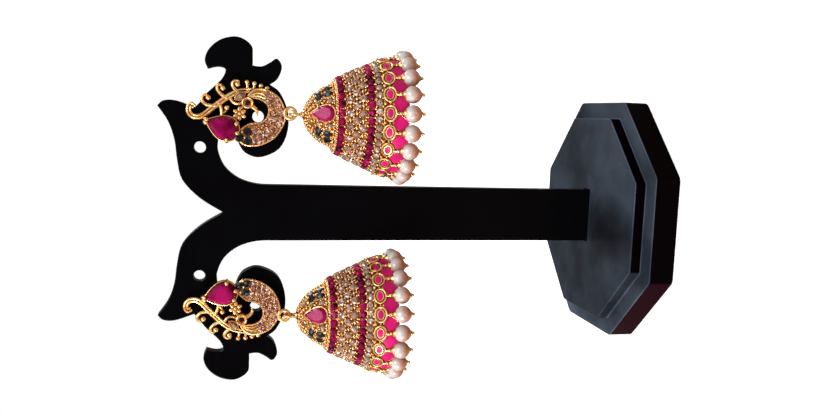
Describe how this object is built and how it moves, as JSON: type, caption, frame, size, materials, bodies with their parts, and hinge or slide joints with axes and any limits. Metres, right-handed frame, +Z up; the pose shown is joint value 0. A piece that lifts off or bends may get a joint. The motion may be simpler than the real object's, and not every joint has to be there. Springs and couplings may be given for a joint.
{
  "type": "pair of jhumka earrings on a display stand",
  "caption": "Jhumka earrings: scrolled bird studs with swinging bells trimmed in stones, enamel and pearls, hung on a flat display stand with a stepped foot.",
  "frame": {"origin": "centre of the underside of the stand's foot", "axes": "+Z up along the post, front towards -Y, +X to the right seen from the front"},
  "size_m": [0.0694, 0.05, 0.0992],
  "materials": {
    "black_plastic": "polished black plastic with fine scuffs",
    "gold": "warm gilt, bright on raised wires and red-brown in the hollows",
    "ruby": "cut magenta-red stone with a foil back",
    "garnet": "small cut dark red stone",
    "clear_stone": "cut clear crystal with a foil back",
    "champagne_stone": "small pink-champagne crystals set close together",
    "dark_stone": "small cut blue-black stone",
    "pink_enamel": "glossy pink enamel",
    "pearl": "white imitation pearl with a peach lustre"
  },
  "bodies": {
    "root": {"stand_base": "black_plastic", "stand_plate": "black_plastic", "stud_frame_right": "gold", "stud_ruby_right": "ruby", "eye_stone_right": "garnet", "leaf_stone_right": "clear_stone", "crescent_pave_right": "champagne_stone", "ear_nut_right": "gold", "stud_frame_left": "gold", "stud_ruby_left": "ruby", "eye_stone_left": "garnet", "leaf_stone_left": "clear_stone", "crescent_pave_left": "champagne_stone", "ear_nut_left": "gold"},
    "right_drop": {"bell_right": "gold", "enamel_band_right": "pink_enamel", "pearl_right_01": "pearl", "pearl_right_02": "pearl", "pearl_right_03": "pearl", "pearl_right_04": "pearl", "pearl_right_05": "pearl", "pearl_right_06": "pearl", "pearl_right_07": "pearl", "pearl_right_08": "pearl", "pearl_right_09": "pearl", "pearl_right_10": "pearl", "pearl_right_11": "pearl", "pearl_right_12": "pearl", "pearl_right_13": "pearl", "pearl_right_14": "pearl", "pearl_right_15": "pearl", "pearl_right_16": "pearl", "pearl_right_17": "pearl", "pearl_right_18": "pearl", "pearl_right_19": "pearl", "pearl_right_20": "pearl"},
    "left_drop": {"bell_left": "gold", "enamel_band_left": "pink_enamel", "pearl_left_01": "pearl", "pearl_left_02": "pearl", "pearl_left_03": "pearl", "pearl_left_04": "pearl", "pearl_left_05": "pearl", "pearl_left_06": "pearl", "pearl_left_07": "pearl", "pearl_left_08": "pearl", "pearl_left_09": "pearl", "pearl_left_10": "pearl", "pearl_left_11": "pearl", "pearl_left_12": "pearl", "pearl_left_13": "pearl", "pearl_left_14": "pearl", "pearl_left_15": "pearl", "pearl_left_16": "pearl", "pearl_left_17": "pearl", "pearl_left_18": "pearl", "pearl_left_19": "pearl", "pearl_left_20": "pearl"}
  },
  "joints": [
    {"name": "right_swing", "type": "hinge", "parent": "root", "child": "right_drop", "pos_m": [0.02, -0.0031, 0.0728], "axis": [1, 0, 0], "range_deg": [-60, 40]},
    {"name": "left_swing", "type": "hinge", "parent": "root", "child": "left_drop", "pos_m": [-0.0209, -0.0031, 0.07335], "axis": [1, 0, 0], "range_deg": [-60, 40]}
  ]
}
